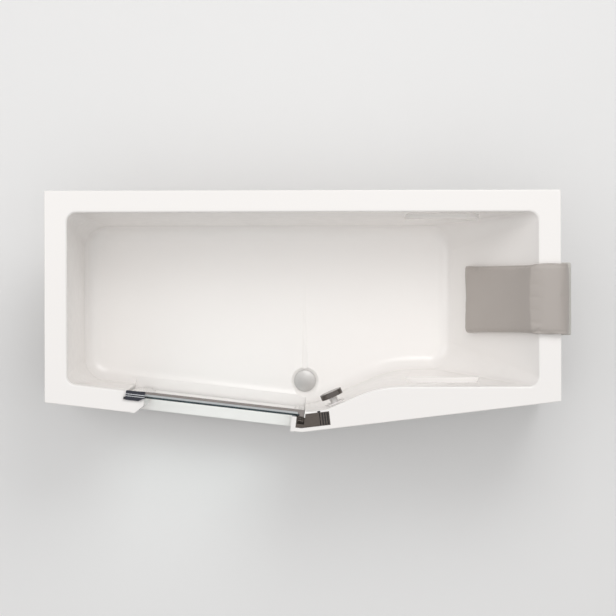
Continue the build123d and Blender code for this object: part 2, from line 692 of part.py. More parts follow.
# Hinge: fixed cap and bearing on the shell, bushes in the knuckle
def hinge_cap():
    """Crowned cap on the rim that holds the upper pin and tapers towards the leaf."""
    near, far = HINGE_CAP_INWARD
    start, taper, end = HINGE_CAP_ALONG
    points = [
        (start, near),
        (taper, near),
        (end, GLASS_OUT),
        (end, LEAF_IN),
        (taper, far),
        (start, far),
    ]
    body = prism(points, RIM_HEIGHT, RIM_HEIGHT + HINGE_CAP_HEIGHT, HINGE_CAP_CORNERS)
    ridge = Pos((start + end) / 2, (near + far) / 2, RIM_HEIGHT + HINGE_CAP_HEIGHT - HINGE_CAP_CROWN)
    body &= ridge * Rot(0, 90, 0) * Cylinder(HINGE_CAP_CROWN, 2 * (end - start))
    depth = (RIM_HEIGHT - 1, RIM_HEIGHT + HINGE_CAP_HEIGHT / 2 + RUNNING_FIT)
    body -= rod((HINGE_ALONG, HINGE_INWARD), PIN_RADIUS + RUNNING_FIT, depth)
    return DOOR_SIDE * body


def hinge_cap_plug():
    """Black plug at the cap's free end."""
    start = HINGE_CAP_ALONG[0]
    near = HINGE_CAP_INWARD[0]
    return DOOR_SIDE * block((start - 6, start), (near + 1, near + 9), (RIM_HEIGHT, RIM_HEIGHT + 8))


def hinge_pins():
    """Upper pin under the cap and lower pin in the bearing block."""
    axis = (HINGE_ALONG, HINGE_INWARD)
    upper = rod(axis, PIN_RADIUS, (LEAF_TOP - BUSH_LENGTH - 5, RIM_HEIGHT + HINGE_CAP_HEIGHT / 2))
    lower = rod(axis, PIN_RADIUS, (NICHE_FLOOR + 2, LEAF_BOTTOM + BUSH_LENGTH + 5))
    return group([DOOR_SIDE * upper, DOOR_SIDE * lower])


def hinge_bushes():
    """Plastic bushes in the two ends of the knuckle."""
    axis = (HINGE_ALONG, HINGE_INWARD)
    bore = PIN_RADIUS + RUNNING_FIT
    upper = tube(axis, BUSH_RADIUS, bore, (LEAF_TOP - BUSH_LENGTH, LEAF_TOP))
    lower = tube(axis, BUSH_RADIUS, bore, (LEAF_BOTTOM, LEAF_BOTTOM + BUSH_LENGTH))
    return group([DOOR_SIDE * upper, DOOR_SIDE * lower])


def hinge_bearing():
    """Bearing block on the niche floor that holds the lower pin."""
    along = (NICHE_FROM, HINGE_ALONG + KNUCKLE_RADIUS)
    body = block(along, (DOOR_SEAT, LEAF_IN), (NICHE_FLOOR, NICHE_FLOOR + BEARING_HEIGHT))
    axis = (HINGE_ALONG, HINGE_INWARD)
    hole = (NICHE_FLOOR + 2 - RUNNING_FIT, NICHE_FLOOR + BEARING_HEIGHT + 1)
    return DOOR_SIDE * (body - rod(axis, PIN_RADIUS + RUNNING_FIT, hole))


def hinge_washer():
    """Thrust washer between the bearing block and the knuckle."""
    height = (NICHE_FLOOR + BEARING_HEIGHT, LEAF_BOTTOM - SOFT_GAP)
    axis = (HINGE_ALONG, HINGE_INWARD)
    return DOOR_SIDE * tube(axis, KNUCKLE_RADIUS - 1, PIN_RADIUS + RUNNING_FIT, height)


# Lock in the rim beside the opening
def case_outline(inset):
    """Outline in plan of the lock case, its corner following the point of the rim."""
    across_door = 90 - LEFT_ANGLE
    walls = [
        Wall(on_side(DOOR_SIDE, LOCK_MOUTH_FROM, 0), across_door, 0),
        Wall(on_side(DOOR_SIDE, 0, DOOR_SEAT), -LEFT_ANGLE, 0),
        Wall(on_side(DOOR_SIDE, LOCK_MOUTH_TO, 0), across_door, 0),
        Wall(on_side(LOCK_SIDE, 0, LOCK_BACK), RIGHT_ANGLE, 0),
        Wall(on_side(LOCK_SIDE, LOCK_TO, 0), RIGHT_ANGLE - 90, 0),
        Wall(on_side(LOCK_SIDE, 0, LOCK_FRONT), 180 + RIGHT_ANGLE, 0),
        Wall(on_side(DOOR_SIDE, 0, LOCK_FRONT), 180 - LEFT_ANGLE, 0),
    ]
    return outline(walls, [inset] * len(walls))


def pin_head(gap):
    """Space of the pivot pin's head behind the case, in the lock side's frame."""
    reach = LOCK_PIN_HEAD_RADIUS + gap
    along = (LOCK_PIVOT_ALONG - reach, LOCK_PIVOT_ALONG + reach)
    inward = (LOCK_BACK, LOCK_BACK + LOCK_PIN_HEAD_LENGTH + gap)
    return block(along, inward, (PIVOT_HEIGHT - reach, RIM_HEIGHT + 1))


def pivot_rod(radius, inward):
    """A rod along the lock's pivot."""
    length = inward[1] - inward[0]
    return Pos(LOCK_PIVOT_ALONG, sum(inward) / 2, PIVOT_HEIGHT) * Rot(90, 0, 0) * Cylinder(radius, length)


def lock_case():
    """Case let into the rim, with a mouth towards the leaf for the keeper."""
    bottom = RIM_HEIGHT - LOCK_CASE_DEPTH
    body = prism(case_outline(0), bottom, CASE_TOP)
    body -= prism(case_outline(LOCK_CASE_WALL), bottom + LOCK_CASE_WALL, CASE_TOP + 1)
    along = (LOCK_MOUTH_FROM + LOCK_CASE_WALL, NICHE_TO)
    inward = (DOOR_SEAT - 2 * LOCK_CASE_WALL, DOOR_SEAT + 1)
    body -= DOOR_SIDE * block(along, inward, (MOUTH_SILL, CASE_TOP + 1))
    body -= LOCK_SIDE * pivot_rod(LOCK_PIN_RADIUS + RUNNING_FIT, (LOCK_FRONT + 0.5, LOCK_BACK + 1))
    return body


def lock_plate():
    """Polished cover plate between the mouth and the grip."""
    outer = LOCK_CASE_WALL + SOFT_GAP
    body = prism(case_outline(outer), CASE_TOP - LOCK_PLATE_THICKNESS, CASE_TOP)
    height = (RIM_HEIGHT - LOCK_CASE_DEPTH, CASE_TOP + 1)
    strip = LOCK_FRONT + LOCK_CASE_WALL + LOCK_PLATE_FRONT_STRIP
    body -= DOOR_SIDE * block((0, LOCK_MOUTH_TO - 1), (strip, WIDTH), height)
    body -= LOCK_SIDE * block((GRIP_FROM - LOCK_PLATE_GAP, LOCK_TO + 1), (0, WIDTH), height)
    return body


def lock_lever():
    """Rocking lever: ribbed grip plate, hub on the pivot, and an arm with a nose."""
    inner = (LOCK_FRONT + LOCK_CASE_WALL + GRIP_GAP, LOCK_BACK - LOCK_CASE_WALL - GRIP_GAP)
    grip_top = CASE_TOP
    grip_to = LOCK_TO - LOCK_CASE_WALL - GRIP_GAP
    body = block((GRIP_FROM, grip_to), inner, (grip_top - GRIP_PLATE, grip_top))
    pitch = (grip_to - GRIP_FROM) / (GRIP_GROOVES + 0.5)
    for number in range(GRIP_GROOVES):
        middle = GRIP_FROM + pitch * (number + 1)
        groove = (middle - GRIP_GROOVE_WIDTH / 2, middle + GRIP_GROOVE_WIDTH / 2)
        body -= block(groove, (inner[0] - 1, inner[1] + 1), (grip_top - GRIP_GROOVE_DEPTH, grip_top + 1))
    body = chamfer(body.faces().sort_by(Axis.Z)[-GRIP_GROOVES - 1:].edges().filter_by(Axis.Y), GRIP_EDGE)
    hub = (ARM_INWARD[0] - 2, ARM_INWARD[1] + 2)
    body += pivot_rod(LOCK_HUB_RADIUS, hub)
    body += block((LOCK_PIVOT_ALONG, GRIP_FROM + 8), hub, (PIVOT_HEIGHT, grip_top - GRIP_PLATE))
    post = (LOCK_PIVOT_ALONG - LOCK_HUB_RADIUS, LOCK_PIVOT_ALONG + LOCK_HUB_RADIUS)
    body += block(post, ARM_INWARD, (ARM_HEIGHT[0], PIVOT_HEIGHT - 1))
    body += block((ARM_TO, LOCK_PIVOT_ALONG), ARM_INWARD, ARM_HEIGHT)
    body += block((ARM_TO, ARM_TO + NOSE_WIDTH), NOSE_INWARD, (ARM_HEIGHT[0], NOSE_TOP))
    body -= pivot_rod(LOCK_PIN_RADIUS + RUNNING_FIT, (hub[0] - 1, hub[1] + 1))
    return LOCK_SIDE * body


def lock_pin():
    """Pivot pin of the lever, with its head behind the case."""
    body = pivot_rod(LOCK_PIN_RADIUS, (LOCK_FRONT + 0.5, LOCK_BACK))
    body += pivot_rod(LOCK_PIN_HEAD_RADIUS, (LOCK_BACK, LOCK_BACK + LOCK_PIN_HEAD_LENGTH))
    return LOCK_SIDE * body


# Waste and overflow
def overflow_place():
    """Frame of the overflow: origin on the shoulder wall, z off the wall, y up the wall."""
    wall = basin_walls()[4]
    turn = radians(wall.heading)
    heading = Vector(cos(turn), sin(turn), 0)
    inward = Vector(sin(turn), -cos(turn), 0)
    slope = atan(wall.run / BASIN_DEPTH)
    spot = Vector(*wall.point, RIM_HEIGHT - KNOB_DEPTH) + heading * KNOB_ALONG_WALL
    spot += inward * (KNOB_DEPTH * tan(slope))
    off_wall = inward * cos(slope) + Vector(0, 0, sin(slope))
    return Location(Plane(origin=spot, x_dir=heading, z_dir=off_wall))


OVERFLOW = overflow_place()


def waste_flange():
    """Flange in the floor with its threaded throat and a spider that guides the plug."""
    drain = plan(DRAIN_ALONG, DRAIN_ACROSS)
    throat_top = FLANGE_TOP - FLANGE_THICKNESS
    body = rod(drain, FLANGE_RADIUS, (throat_top, FLANGE_TOP))
    body += rod(drain, THROAT_RADIUS, (throat_top - THROAT_LENGTH, throat_top))
    body -= rod(drain, THROAT_BORE, (throat_top - THROAT_LENGTH - 1, FLANGE_TOP + 1))
    height = (throat_top - SPIDER_DROP - SPIDER_HEIGHT, throat_top - SPIDER_DROP)
    arm_block = block((0, THROAT_BORE + 1), (-SPIDER_ARM / 2, SPIDER_ARM / 2), height)
    for turn in (90, 210, 330):
        body += Pos(*drain, 0) * Rot(0, 0, turn) * arm_block
    body += rod(drain, SPIDER_HUB_RADIUS, height)
    return body - rod(drain, STEM_RADIUS + RUNNING_FIT, (height[0] - 1, height[1] + 1))


def waste_gasket():
    """Rubber ring between the shell and the trap."""
    drain = plan(DRAIN_ALONG, DRAIN_ACROSS)
    return tube(drain, TRAP_RADIUS - 2, DRAIN_HOLE_RADIUS, (TRAP_TOP, BOSS_BOTTOM))


def drain_plug():
    """Domed plug with its stem; it rises out of the flange when the knob turns."""
    drain = plan(DRAIN_ALONG, DRAIN_ACROSS)
    seat = FLANGE_TOP + SOFT_GAP
    dome_radius = (PLUG_RADIUS ** 2 + PLUG_DOME ** 2) / (2 * PLUG_DOME)
    top = seat + PLUG_EDGE + PLUG_DOME
    body = rod(drain, PLUG_RADIUS, (seat, top)) & Pos(*drain, top - dome_radius) * Sphere(dome_radius)
    return body + rod(drain, STEM_RADIUS, (seat - STEM_LENGTH, seat + PLUG_EDGE))


def level_rod(start, reach, radius):
    """A level cylinder at the outlet's height, over a stretch towards the back."""
    middle = start[1] + sum(reach) / 2
    return Pos(start[0], middle, OUTLET_HEIGHT) * Rot(90, 0, 0) * Cylinder(radius, reach[1] - reach[0])


def trap_body():
    """Flat trap under the floor, with its outlet towards the wall."""
    drain = plan(DRAIN_ALONG, DRAIN_ACROSS)
    bottom = TRAP_TOP - TRAP_HEIGHT
    body = rod(drain, TRAP_RADIUS, (bottom, TRAP_TOP))
    end = plan(DRAIN_ALONG, OUTLET_ACROSS)
    length = end[1] - drain[1]
    body += level_rod(drain, (0, length), OUTLET_RADIUS)
    body += level_rod(drain, (0, length - SPIGOT_LENGTH), OUTLET_RADIUS + OUTLET_COLLAR)
    body -= rod(drain, TRAP_RADIUS - TRAP_WALL, (bottom + TRAP_WALL, TRAP_TOP - TRAP_WALL))
    body -= rod(drain, THROAT_RADIUS + RUNNING_FIT, (TRAP_TOP - TRAP_WALL - 1, TRAP_TOP + 1))
    body -= level_rod(drain, (0, length + 1), OUTLET_BORE)
    path = pipe_path()
    inlet = Plane(origin=path @ 1, z_dir=path % 1) * Pos(0, 0, TRAP_WALL)
    return body - inlet * Cylinder(OVERFLOW_PIPE_RADIUS - OVERFLOW_PIPE_WALL, 2 * TRAP_WALL + 1)


def pipe_path():
    """Centre line of the overflow pipe, down the back of the wall and in to the trap."""
    drain = Vector(*plan(DRAIN_ALONG, DRAIN_ACROSS), OUTLET_HEIGHT)
    depth = -(OVERFLOW_BODY_BACK + WALL) / 2
    top = (OVERFLOW * Location((0, -OVERFLOW_BODY_RADIUS + 1, depth))).position
    down = (OVERFLOW * Location((0, -OVERFLOW_BODY_RADIUS - 1, depth))).position - top
    foot = top + down * ((top.Z - OUTLET_HEIGHT) / -down.Z)
    inward = (foot - drain).normalized()
    return FilletPolyline(top, foot, drain + inward * TRAP_RADIUS, radius=OVERFLOW_PIPE_BEND)


def overflow_pipe():
    """Pipe from the overflow body to the trap."""
    path = pipe_path()
    ring = Circle(OVERFLOW_PIPE_RADIUS) - Circle(OVERFLOW_PIPE_RADIUS - OVERFLOW_PIPE_WALL)
    return sweep(Plane(origin=path @ 0, z_dir=path % 0) * ring, path)


def overflow_body():
    """Housing behind the wall that takes the overflow water and the knob's shaft."""
    back, front = -OVERFLOW_BODY_BACK, -WALL - GASKET_THICKNESS
    body = rod((0, 0), OVERFLOW_BODY_RADIUS, (back, front))
    body -= rod((0, 0), OVERFLOW_TUBE + RUNNING_FIT, (back + TRAP_WALL, front + 1))
    down = Pos(0, -OVERFLOW_BODY_RADIUS, -(OVERFLOW_BODY_BACK + WALL) / 2) * Rot(90, 0, 0)
    body -= down * Cylinder(OVERFLOW_PIPE_RADIUS + RUNNING_FIT, OVERFLOW_BODY_RADIUS)
    return OVERFLOW * body


def overflow_gasket():
    """Rubber ring between the wall and the overflow body."""
    ring = tube((0, 0), OVERFLOW_BODY_RADIUS, OVERFLOW_HOLE, (-WALL - GASKET_THICKNESS, -WALL))
    return OVERFLOW * ring


def overflow_escutcheon():
    """Flange inside the basin with its threaded tube, its intake holes and the neck."""
    body = rod((0, 0), ESCUTCHEON_RADIUS, (0, ESCUTCHEON_THICKNESS))
    body += tube((0, 0), OVERFLOW_TUBE, OVERFLOW_TUBE - 3, (-WALL - 3 * GASKET_THICKNESS, 1))
    body += rod((0, 0), NECK_RADIUS, (0, KNOB_FROM - SOFT_GAP))
    body -= rod((0, 0), KNOB_SHAFT_RADIUS + RUNNING_FIT, (-1, KNOB_FROM))
    for number in range(INTAKE_HOLES):
        turn = Rot(0, 0, 360 / INTAKE_HOLES * number)
        hole = rod((INTAKE_CIRCLE, 0), INTAKE_RADIUS, (-1, ESCUTCHEON_THICKNESS + 1))
        body -= turn * hole
    return OVERFLOW * body


def waste_knob():
    """Round knob over the overflow, with two finger scoops and the shaft to the cable."""
    body = rod((0, 0), KNOB_RADIUS, (KNOB_FROM, KNOB_TO))
    body = chamfer(body.edges().sort_by(Axis.Z)[-1], KNOB_EDGE)
    for side in (-1, 1):
        middle = side * (KNOB_RADIUS + SCOOP_RADIUS - SCOOP_DEPTH)
        body -= rod((middle, 0), SCOOP_RADIUS, (KNOB_FROM - 1, KNOB_TO + 1))
    shaft_end = -OVERFLOW_BODY_BACK + 2 * TRAP_WALL
    body += rod((0, 0), KNOB_SHAFT_RADIUS, (shaft_end, KNOB_FROM))
    body += rod((0, 0), 2 * KNOB_SHAFT_RADIUS, (shaft_end, -WALL - 4 * GASKET_THICKNESS))
    return OVERFLOW * body


def waste_cable():
    """Cable in its sheath from the overflow body to the lifter in the trap."""
    level = TRAP_TOP - 8
    beside = OVERFLOW_PIPE_RADIUS + 2 * CABLE_RADIUS
    low = -(OVERFLOW_BODY_RADIUS ** 2 - (beside - CABLE_RADIUS) ** 2) ** 0.5
    depth = -(OVERFLOW_BODY_BACK + WALL) / 2
    top = (OVERFLOW * Location((beside, low, depth))).position
    down = (OVERFLOW * Location((beside, low - 1, depth))).position - top
    foot = top + down * ((top.Z - level) / -down.Z)
    drain = Vector(*plan(DRAIN_ALONG, DRAIN_ACROSS), level)
    inward = (foot - drain).normalized()
    path = FilletPolyline(top, foot, drain + inward * TRAP_RADIUS, radius=CABLE_BEND)
    return sweep(Plane(origin=path @ 0, z_dir=path % 0) * Circle(CABLE_RADIUS), path)


# Underside
def rail_span(along):
    """Where a cross rail starts and ends, as distances from the back edge."""
    return (RAIL_BACK_ACROSS, front_across(along) - RAIL_FRONT_GAP)


def foot_places():
    """Centres of the feet in plan, two on each cross rail."""
    places = []
    for along in RAILS_ALONG:
        back, front = rail_span(along)
        places += [plan(along, back + FOOT_FROM_END), plan(along, front - FOOT_FROM_END)]
    return places


def screw_places():
    """Centres of the screws that hold the rails to the base board."""
    first = RAIL_BACK_ACROSS + SCREW_FIRST
    rows = [first + number * SCREW_PITCH for number in range(SCREW_COUNT)]
    return [plan(along, across) for along in RAILS_ALONG for across in rows]


def base_board():
    """Board bonded under the basin floor, cut out round the waste."""
    body = prism(basin_outline(1, BOARD_INSET), BOARD_BOTTOM, UNDERSIDE)
    body -= rod(plan(DRAIN_ALONG, DRAIN_ACROSS), BOARD_DRAIN_CUT, (BOARD_BOTTOM - 1, UNDERSIDE + 1))
    for spot in foot_places():
        body -= rod(spot, SPINDLE_RADIUS + 1, (BOARD_BOTTOM - 1, UNDERSIDE + 1))
    for spot in screw_places():
        body -= rod(spot, SCREW_RADIUS + RUNNING_FIT, (BOARD_BOTTOM - 1, BOARD_BOTTOM + SCREW_LENGTH))
    return body


def cross_rail(along):
    """Steel channel under the board, open downwards."""
    back, front = rail_span(along)
    x, y_back = plan(along, back)
    y_front = plan(along, front)[1]
    half = RAIL_WIDTH / 2
    low = BOARD_BOTTOM - RAIL_HEIGHT
    body = block((x - half, x + half), (y_front, y_back), (low, BOARD_BOTTOM))
    inner = half - RAIL_WALL
    body -= block((x - inner, x + inner), (y_front - 1, y_back + 1), (low - 1, WEB_BOTTOM))
    for spot in foot_places():
        body -= rod(spot, SPINDLE_RADIUS + RUNNING_FIT, (low, BOARD_BOTTOM + 1))
    for spot in screw_places():
        body -= rod(spot, SCREW_RADIUS + RUNNING_FIT, (low, BOARD_BOTTOM + 1))
    return body


def rail_screws():
    """Screws from the rails up into the board."""
    screws = []
    for spot in screw_places():
        shank = rod(spot, SCREW_RADIUS, (WEB_BOTTOM - 1, BOARD_BOTTOM + SCREW_LENGTH - 1))
        screws.append(shank + rod(spot, SCREW_HEAD_RADIUS, (WEB_BOTTOM - 3, WEB_BOTTOM)))
    return group(screws)


def hexagon_nut(spot, bottom, top):
    """A hexagon nut bored for a foot spindle."""
    body = Pos(spot[0], spot[1], bottom) * extrude(RegularPolygon(NUT_RADIUS, 6), top - bottom)
    return body - rod(spot, SPINDLE_RADIUS + RUNNING_FIT, (bottom - 1, top + 1))


def foot_nuts():
    """Nuts fixed under the rails that the spindles turn in."""
    return group([hexagon_nut(spot, WEB_BOTTOM - NUT_HEIGHT, WEB_BOTTOM) for spot in foot_places()])


def foot_spindle(spot):
    """Threaded spindle of one foot, with the lock nut above its pad."""
    body = rod(spot, SPINDLE_RADIUS, (PAD_HEIGHT / 2, BOARD_BOTTOM - 1))
    nut = RegularPolygon(NUT_RADIUS, 6)
    return body + Pos(spot[0], spot[1], PAD_HEIGHT + 4) * extrude(nut, NUT_HEIGHT * 0.8)


def foot_pad(spot):
    """Rubber pad of one foot."""
    body = rod(spot, PAD_RADIUS, (0, PAD_HEIGHT / 2))
    body += Pos(*spot, PAD_HEIGHT * 0.75) * Cone(PAD_RADIUS, PAD_RADIUS / 2, PAD_HEIGHT / 2)
    return body - rod(spot, SPINDLE_RADIUS, (PAD_HEIGHT / 2, PAD_HEIGHT + 1))


# Front apron
def apron_panel(length):
    """A front panel along one edge, with returns at its far end and bottom."""
    inward = (APRON_INWARD, APRON_INWARD + APRON_THICKNESS)
    height = (APRON_BOTTOM, APRON_TOP)
    face = block((0, length), inward, height)
    foot = (APRON_BOTTOM, APRON_BOTTOM + APRON_THICKNESS)
    return face + block((0, length), (inward[0], inward[1] + APRON_RETURN), foot)


def apron_left():
    """Left front panel, cut out round the door frame."""
    length = APEX_OUT - 2 * APRON_END_GAP - APRON_INWARD
    body = Pos(APRON_INWARD + APRON_END_GAP, 0, 0) * apron_panel(length - APRON_END_GAP)
    gap = FRAME_THICKNESS + APRON_NOTCH_GAP
    notch = (OPENING_FROM - gap, OPENING_TO + gap)
    body -= block(notch, (0, DOOR_SEAT), (SILL_HEIGHT - gap, APRON_TOP + 1))
    return DOOR_SIDE * body


def apron_right():
    """Right front panel."""
    reach = (LENGTH - APEX_ALONG) / cos(radians(RIGHT_ANGLE))
    body = Pos(2 * APRON_END_GAP, 0, 0) * apron_panel(reach - APRON_INWARD - 3 * APRON_END_GAP)
    return LOCK_SIDE * body


def apron_brackets():
    """Angle brackets from the ends of the cross rails to the back of the panels."""
    brackets = []
    start = APRON_INWARD + APRON_THICKNESS
    sheet = BRACKET_SHEET
    for along in RAILS_ALONG:
        side, middle = front_edge(along, RAIL_FRONT_GAP)
        wide = (middle - ANGLE_WIDTH / 2, middle + ANGLE_WIDTH / 2)
        narrow = (middle - ANGLE_WIDTH / 3, middle + ANGLE_WIDTH / 3)
        plate = block(wide, (start, start + sheet), (WEB_BOTTOM - ANGLE_HEIGHT, WEB_BOTTOM))
        tongue = block(narrow, (start, start + ANGLE_REACH), (WEB_BOTTOM - sheet, WEB_BOTTOM))
        brackets.append(side * (plate + tongue))
    return group(brackets)


# Wall brackets
def wall_brackets():
    """Brackets screwed to the wall that carry the back rim from below."""
    brackets = []
    for along in BRACKETS_ALONG:
        x, wall = plan(along, 0)
        half = BRACKET_WIDTH / 2
        width = (x - half, x + half)
        sheet = BRACKET_SHEET
        lip_bottom = RIM_HEIGHT - LIP_HEIGHT
        step = LIP_THICKNESS + 2 * sheet
        body = block(width, (wall - sheet, wall), (BRACKET_BOTTOM, lip_bottom - sheet))
        body += block(width, (wall - step, wall), (lip_bottom - 2 * sheet, lip_bottom - sheet))
        hook = (lip_bottom - 2 * sheet, RIM_HEIGHT - RIM_THICKNESS)
        body += block(width, (wall - step, wall - step + sheet), hook)
        for side in (-1, 1):
            hole_x = x + side * BRACKET_HOLE_SPACING / 2
            hole = Pos(hole_x, wall, BRACKET_BOTTOM + BRACKET_HOLE_UP) * Rot(90, 0, 0)
            body -= hole * Cylinder(BRACKET_HOLE_RADIUS, 4 * sheet)
        brackets.append(body)
    return group(brackets)


# Cushion draped over the backrest end
def cushion_pad():
    """Soft pad that lies on the backrest, over the rim and down outside."""
    gap = SOFT_GAP + PAD_THICKNESS / 2
    slope = atan(BACKREST_RUN / BASIN_DEPTH)
    rim_edge = LENGTH - RIGHT_RIM
    low_height = RIM_HEIGHT - (rim_edge - PAD_LOW_ALONG) / tan(slope)
    points = [
        (PAD_LOW_ALONG - gap * cos(slope), low_height + gap * sin(slope)),
        (rim_edge - gap * (1 - sin(slope)) / cos(slope), RIM_HEIGHT + gap),
        (LENGTH + gap, RIM_HEIGHT + gap),
        (LENGTH + gap, PAD_FLAP_BOTTOM),
    ]
    line = FilletPolyline(*points, radius=[RIM_INNER_EDGE + gap, RIM_OUTER_EDGE + gap])
    section = trace(line, PAD_THICKNESS)
    upright = Plane(origin=(*plan(0, PAD_FROM_ACROSS), 0), x_dir=(1, 0, 0), z_dir=(0, -1, 0))
    return upright * extrude(section, PAD_TO_ACROSS - PAD_FROM_ACROSS)


def cushion_weight():
    """Pale weighted hem that hangs outside and keeps the cushion in place."""
    x, y0 = plan(LENGTH + SOFT_GAP, PAD_FROM_ACROSS)
    y1 = plan(0, PAD_TO_ACROSS)[1]
    return block((x, x + WEIGHT_THICKNESS), (y1, y0), (WEIGHT_BOTTOM, PAD_FLAP_BOTTOM))


def sub_parts():
    """Every sub-part by its node's name."""
    parts = {
        "tub_shell": tub_shell(),
        "door_frame": door_frame(),
        "frame_seal": frame_seal(),
        "door_glass": door_glass(),
        "hinge_profile": hinge_profile(),
        "lock_profile": lock_profile(),
        "door_top_rail": door_top_rail(),
        "door_top_strip": door_top_strip(),
        "door_bottom_rail": door_bottom_rail(),
        "door_sweep": door_sweep(),
        "door_keeper": door_keeper(),
        "hinge_cap": hinge_cap(),
        "hinge_cap_plug": hinge_cap_plug(),
        "hinge_pins": hinge_pins(),
        "hinge_bushes": hinge_bushes(),
        "hinge_bearing": hinge_bearing(),
        "hinge_washer": hinge_washer(),
        "lock_case": lock_case(),
        "lock_plate": lock_plate(),
        "lock_lever": lock_lever(),
        "lock_pin": lock_pin(),
        "waste_flange": waste_flange(),
        "waste_gasket": waste_gasket(),
        "drain_plug": drain_plug(),
        "trap_body": trap_body(),
        "overflow_pipe": overflow_pipe(),
        "overflow_body": overflow_body(),
        "overflow_gasket": overflow_gasket(),
        "overflow_escutcheon": overflow_escutcheon(),
        "waste_knob": waste_knob(),
        "waste_cable": waste_cable(),
        "base_board": base_board(),
        "rail_screws": rail_screws(),
        "foot_nuts": foot_nuts(),
        "apron_left": apron_left(),
        "apron_right": apron_right(),
        "apron_brackets": apron_brackets(),
        "wall_brackets": wall_brackets(),
        "cushion_pad": cushion_pad(),
        "cushion_weight": cushion_weight(),
    }
    for number, along in enumerate(RAILS_ALONG, 1):
        parts[f"cross_rail_{number}"] = cross_rail(along)
    for number, spot in enumerate(foot_places(), 1):
        parts[f"foot_spindle_{number}"] = foot_spindle(spot)
        parts[f"foot_pad_{number}"] = foot_pad(spot)
    return parts


os.makedirs("parts", exist_ok=True)
for name, shape in sub_parts().items():
    export_step(shape, f"parts/{name}.step")
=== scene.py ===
import json
import math

import bmesh
import bpy
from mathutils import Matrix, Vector


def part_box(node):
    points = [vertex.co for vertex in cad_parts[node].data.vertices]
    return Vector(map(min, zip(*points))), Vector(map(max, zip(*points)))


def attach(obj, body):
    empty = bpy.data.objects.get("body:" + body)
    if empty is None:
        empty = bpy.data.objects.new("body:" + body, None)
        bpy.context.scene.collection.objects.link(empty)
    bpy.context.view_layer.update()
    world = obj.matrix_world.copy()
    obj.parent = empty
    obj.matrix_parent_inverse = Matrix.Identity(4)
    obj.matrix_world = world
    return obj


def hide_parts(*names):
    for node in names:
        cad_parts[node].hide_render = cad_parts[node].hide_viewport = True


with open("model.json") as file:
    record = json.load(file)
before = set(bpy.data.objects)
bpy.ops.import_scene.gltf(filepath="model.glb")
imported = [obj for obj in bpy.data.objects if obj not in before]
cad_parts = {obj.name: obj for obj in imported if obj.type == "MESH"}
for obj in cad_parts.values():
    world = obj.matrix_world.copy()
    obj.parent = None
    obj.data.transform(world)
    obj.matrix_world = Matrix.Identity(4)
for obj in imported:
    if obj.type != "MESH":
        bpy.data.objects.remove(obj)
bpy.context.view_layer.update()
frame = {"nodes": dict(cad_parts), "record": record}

# Camera: straight above the bath, the back edge at the top of the picture
CAMERA_X = -0.0006
CAMERA_Y = 0.0099
RIM_HEIGHT = 0.560
CAMERA_ABOVE_RIM = 9.0
CAMERA_LENS = 170.0
CAMERA_ROLL = -0.0024

# Light: the sky's strength overhead and at the horizon, two soft lamps, floor and backdrop
SKY_OVERHEAD = 1.70
SKY_HORIZON = 0.22
SKY_FALL = 4.0
KEY_PLACE = (1.1, 2.5, 3.9)
KEY_AIM = (0.0, 0.0, 0.4)
KEY_POWER = 58.0
KEY_SIZE = 2.4
FILL_PLACE = (-3.2, 1.2, 2.8)
FILL_AIM = (0.5, 0.0, 0.3)
FILL_POWER = 22.0
FILL_SIZE = 2.4
FLOOR_COLOUR = (0.80, 0.795, 0.79)
FLOOR_REACH = 8.0
BACKDROP_COLOUR = (0.86, 0.86, 0.86)

# Copies of CAD meshes: how near two corners merge, and how flat two faces are that join
MERGE_DISTANCE = 0.00001
FLAT_ANGLE = math.radians(1.0)

# Door glass: colour through its face, of its cut edge, and of lamp light that passes it
GLASS_FACE = (0.93, 0.975, 0.97)
GLASS_EDGE = (0.10, 0.19, 0.23)
GLASS_LAMP_LIGHT = (0.88, 0.93, 0.92)

# Hinge cap: the door side's turn in plan, the places and width of the painted highlight lines
# along it, and how far up a face looks that takes them. The lines are painted highlights, a bright
# metal that stands in for the lamps' reflection in the dark chrome
DOOR_TURN = math.radians(-6.743)
CAP_HIGHLIGHT_LINES = (0.0035, -0.0025)
CAP_HIGHLIGHT_WIDTH = 0.0016
CAP_HIGHLIGHT_FACING_UP = 0.5

# Lock lever: how deep below its top the grip grooves' floors lie, least and most, and how
# far up they look; these floors are painted black as painted shade in the grooves
SHADED_GROOVE_DEPTHS = (0.0012, 0.0028)
SHADED_GROOVE_FACING_UP = 0.9

# Cushion: its thickness, its corners, the grid of its mesh, and how cloth swells it
CUSHION_THICKNESS = 0.026
THICKNESS_TOLERANCE = 0.001
CUSHION_CORNER = 0.014
CUSHION_VOXEL = 0.005
CUSHION_SHRINK = 0.003
CUSHION_PRESSURE = 4.0
CUSHION_FRAMES = 20
CUSHION_SWELL = 0.006

# Cushion's seam: its slope from upright is the backrest's, 265 mm out over 440 mm of height.
# Faces that look more sideways than the limit are the pad's edge and have no seam
CUSHION_SLOPE = math.atan(265.0 / 440.0)
SIDEWAYS_LIMIT = 0.6
SEAM_INSIDE = 0.012
SEAM_HALF_WIDTH = 0.003
SEAM_DEPTH = 0.0012

# Cushion's hem: the radius of its edges
HEM_EDGE = 0.006


# Shader building blocks
def maths(tree, operation, *values):
    """The result of a math node, whose values are other nodes' outputs or plain numbers."""
    node = tree.nodes.new("ShaderNodeMath")
    node.operation = operation
    for value, socket in zip(values, node.inputs):
        if isinstance(value, float):
            socket.default_value = value
        else:
            tree.links.new(value, socket)
    return node.outputs["Value"]


def spread(tree, value, low, high):
    """A 0 to 1 pattern moved to a range."""
    node = tree.nodes.new("ShaderNodeMapRange")
    node.inputs["To Min"].default_value = low
    node.inputs["To Max"].default_value = high
    tree.links.new(value, node.inputs["Value"])
    return node.outputs["Result"]


